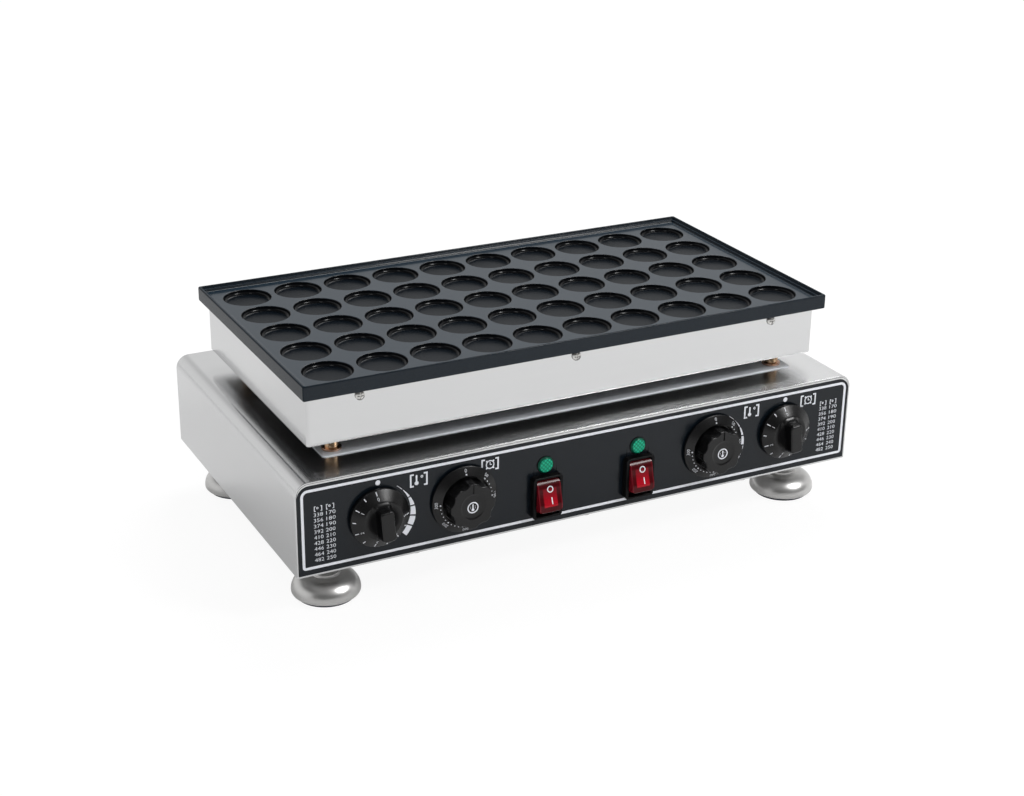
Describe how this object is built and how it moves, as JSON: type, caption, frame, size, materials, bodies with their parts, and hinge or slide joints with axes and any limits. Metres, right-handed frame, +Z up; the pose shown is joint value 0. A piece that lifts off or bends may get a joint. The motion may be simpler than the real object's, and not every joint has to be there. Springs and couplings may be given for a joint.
{
  "type": "mini pancake maker",
  "caption": "Countertop griddle with a coated plate of round wells on a heated head, four posts, a control housing with dials and rockers, and levelling feet.",
  "frame": {"origin": "on the table, under the middle of the whole outline", "axes": "+X to the right seen from the front, +Y to the back, +Z up"},
  "size_m": [0.56, 0.3646, 0.2056],
  "materials": {
    "coated_plate": "dark non-stick coat, fine satin",
    "bright_steel": "satin stainless sheet",
    "plain_steel": "plain sheet",
    "fastener_steel": "bright",
    "mineral_wool": "loose fibre mat",
    "heater_sheath": "heat tinted tube",
    "copper": "drawn tube",
    "black_rubber": "matt",
    "brass": "turned",
    "bronze_washer": "dull",
    "printed_overlay": "satin print",
    "black_plastic": "moulded",
    "cream_ceramic": "glazed",
    "timer_case": "moulded",
    "thermostat_case": "plated",
    "spindle_steel": "turned",
    "knob_plastic": "fine satin",
    "red_plastic": "translucent gloss",
    "green_lens": "translucent gloss",
    "foot_steel": "polished satin",
    "foot_rubber": "matt"
  },
  "bodies": {
    "base": {"baking_plate": "coated_plate", "plate_skirt": "bright_steel", "housing_cover": "bright_steel", "heat_shield": "bright_steel", "front_panel": "bright_steel", "back_panel": "bright_steel", "head_floor": "plain_steel", "base_plate": "plain_steel", "clamp_bars": "plain_steel", "skirt_screws": "fastener_steel", "clamp_nuts": "fastener_steel", "post_nuts": "fastener_steel", "base_screws": "fastener_steel", "bush_nuts": "fastener_steel", "foot_nuts": "fastener_steel", "insulation_mat": "mineral_wool", "heater_left": "heater_sheath", "heater_right": "heater_sheath", "sensor_left": "copper", "sensor_right": "copper", "wire_sleeve": "black_rubber", "post_front_left": "brass", "post_front_right": "brass", "post_back_left": "brass", "post_back_right": "brass", "post_washers": "bronze_washer", "control_overlay": "printed_overlay", "cable_gland": "black_plastic", "gland_nut": "black_plastic", "lamp_nuts": "black_plastic", "switch_left": "black_plastic", "switch_right": "black_plastic", "lamp_left": "black_plastic", "lamp_right": "black_plastic", "terminal_block": "cream_ceramic", "timer_left": "timer_case", "timer_right": "timer_case", "thermostat_left": "thermostat_case", "thermostat_right": "thermostat_case", "lamp_lens_left": "green_lens", "lamp_lens_right": "green_lens"},
    "timer_dial_left": {"timer_knob_left": "knob_plastic", "timer_spindle_left": "spindle_steel"},
    "thermostat_dial_left": {"thermostat_knob_left": "knob_plastic", "thermostat_spindle_left": "spindle_steel"},
    "power_rocker_left": {"rocker_left": "red_plastic"},
    "timer_dial_right": {"timer_knob_right": "knob_plastic", "timer_spindle_right": "spindle_steel"},
    "thermostat_dial_right": {"thermostat_knob_right": "knob_plastic", "thermostat_spindle_right": "spindle_steel"},
    "power_rocker_right": {"rocker_right": "red_plastic"},
    "level_foot_front_left": {"foot_front_left": "foot_steel", "foot_pad_front_left": "foot_rubber"},
    "level_foot_front_right": {"foot_front_right": "foot_steel", "foot_pad_front_right": "foot_rubber"},
    "level_foot_back_left": {"foot_back_left": "foot_steel", "foot_pad_back_left": "foot_rubber"},
    "level_foot_back_right": {"foot_back_right": "foot_steel", "foot_pad_back_right": "foot_rubber"}
  },
  "joints": [
    {"name": "timer_turn_left", "type": "hinge", "parent": "base", "child": "timer_dial_left", "pos_m": [-0.206, -0.1702, 0.087], "axis": [0, 1, 0], "range_deg": [0, 260]},
    {"name": "thermostat_turn_left", "type": "hinge", "parent": "base", "child": "thermostat_dial_left", "pos_m": [-0.1265, -0.1702, 0.087], "axis": [0, 1, 0], "range_deg": [0, 315]},
    {"name": "rocker_tilt_left", "type": "hinge", "parent": "base", "child": "power_rocker_left", "pos_m": [-0.047, -0.1583, 0.0735], "axis": [1, 0, 0], "range_deg": [0, 30]},
    {"name": "timer_turn_right", "type": "hinge", "parent": "base", "child": "timer_dial_right", "pos_m": [0.206, -0.1702, 0.087], "axis": [0, 1, 0], "range_deg": [0, 260]},
    {"name": "thermostat_turn_right", "type": "hinge", "parent": "base", "child": "thermostat_dial_right", "pos_m": [0.1265, -0.1702, 0.087], "axis": [0, 1, 0], "range_deg": [0, 315]},
    {"name": "rocker_tilt_right", "type": "hinge", "parent": "base", "child": "power_rocker_right", "pos_m": [0.047, -0.1583, 0.0735], "axis": [1, 0, 0], "range_deg": [0, 30]},
    {"name": "foot_screw_front_left", "type": "slide", "parent": "base", "child": "level_foot_front_left", "axis": [0, 0, -1], "range_m": [0, 0.01]},
    {"name": "foot_screw_front_right", "type": "slide", "parent": "base", "child": "level_foot_front_right", "axis": [0, 0, -1], "range_m": [0, 0.01]},
    {"name": "foot_screw_back_left", "type": "slide", "parent": "base", "child": "level_foot_back_left", "axis": [0, 0, -1], "range_m": [0, 0.01]},
    {"name": "foot_screw_back_right", "type": "slide", "parent": "base", "child": "level_foot_back_right", "axis": [0, 0, -1], "range_m": [0, 0.01]}
  ]
}
